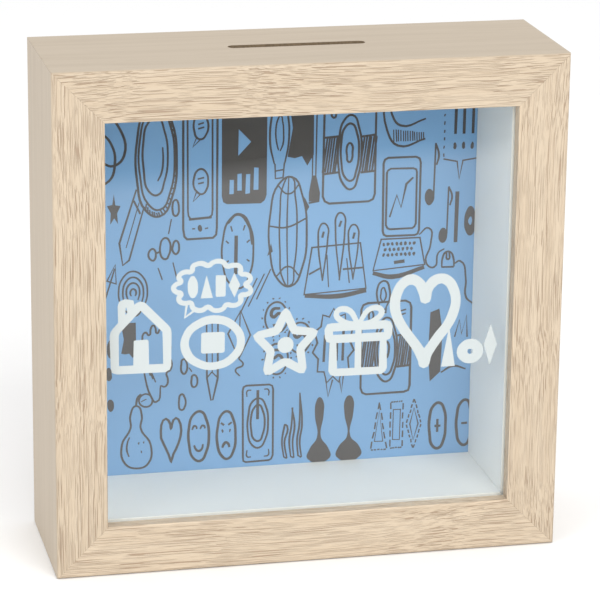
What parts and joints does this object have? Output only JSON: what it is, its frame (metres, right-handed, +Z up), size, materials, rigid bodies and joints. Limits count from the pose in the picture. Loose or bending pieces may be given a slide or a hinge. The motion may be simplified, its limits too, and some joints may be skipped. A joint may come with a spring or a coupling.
{
  "type": "money box",
  "caption": "Square wooden frame money box with a coin slot in the top, a glass front over a deep space for coins, a printed back card and a removable back board held by turn buttons.",
  "frame": {"origin": "centre of the frame's underside, which the box stands on", "axes": "+X right seen from the front, +Y from the glass front to the back board, +Z up"},
  "size_m": [0.2, 0.0684, 0.2],
  "materials": {
    "oak": "satin",
    "lining": "matte",
    "glass": "gloss",
    "printed_card": "satin",
    "fibreboard": "matte",
    "zinc_steel": "satin",
    "screw_steel": "satin",
    "nail_steel": "satin",
    "screen_print": "satin",
    "card_ink": "matte"
  },
  "bodies": {
    "frame": {"bottom_rail": "oak", "left_rail": "oak", "top_rail": "oak", "right_rail": "oak", "spacer_bottom": "lining", "spacer_left": "lining", "spacer_top": "lining", "spacer_right": "lining", "glass_pane": "glass", "turn_button_screw_bottom": "screw_steel", "turn_button_screw_left": "screw_steel", "turn_button_screw_top": "screw_steel", "turn_button_screw_right": "screw_steel", "v_nail_bottom_left_1": "nail_steel", "v_nail_bottom_left_2": "nail_steel", "v_nail_top_left_1": "nail_steel", "v_nail_top_left_2": "nail_steel", "v_nail_top_right_1": "nail_steel", "v_nail_top_right_2": "nail_steel", "v_nail_bottom_right_1": "nail_steel", "v_nail_bottom_right_2": "nail_steel"},
    "back": {"back_board": "fibreboard", "printed_card": "printed_card"},
    "button_bottom": {"turn_button_bottom": "zinc_steel"},
    "button_left": {"turn_button_left": "zinc_steel"},
    "button_top": {"turn_button_top": "zinc_steel"},
    "button_right": {"turn_button_right": "zinc_steel"}
  },
  "joints": [
    {"name": "back_lift_out", "type": "slide", "parent": "frame", "child": "back", "axis": [0, 1, 0], "range_m": [0, 0.06]},
    {"name": "button_bottom_turn", "type": "hinge", "parent": "frame", "child": "button_bottom", "pos_m": [0, 0.0332, 0.0075], "axis": [0, 1, 0], "range_deg": [-90, 0]},
    {"name": "button_left_turn", "type": "hinge", "parent": "frame", "child": "button_left", "pos_m": [-0.0925, 0.0332, 0.1], "axis": [0, 1, 0], "range_deg": [-90, 0]},
    {"name": "button_top_turn", "type": "hinge", "parent": "frame", "child": "button_top", "pos_m": [0, 0.0332, 0.1925], "axis": [0, 1, 0], "range_deg": [-90, 0]},
    {"name": "button_right_turn", "type": "hinge", "parent": "frame", "child": "button_right", "pos_m": [0.0925, 0.0332, 0.1], "axis": [0, 1, 0], "range_deg": [-90, 0]}
  ]
}
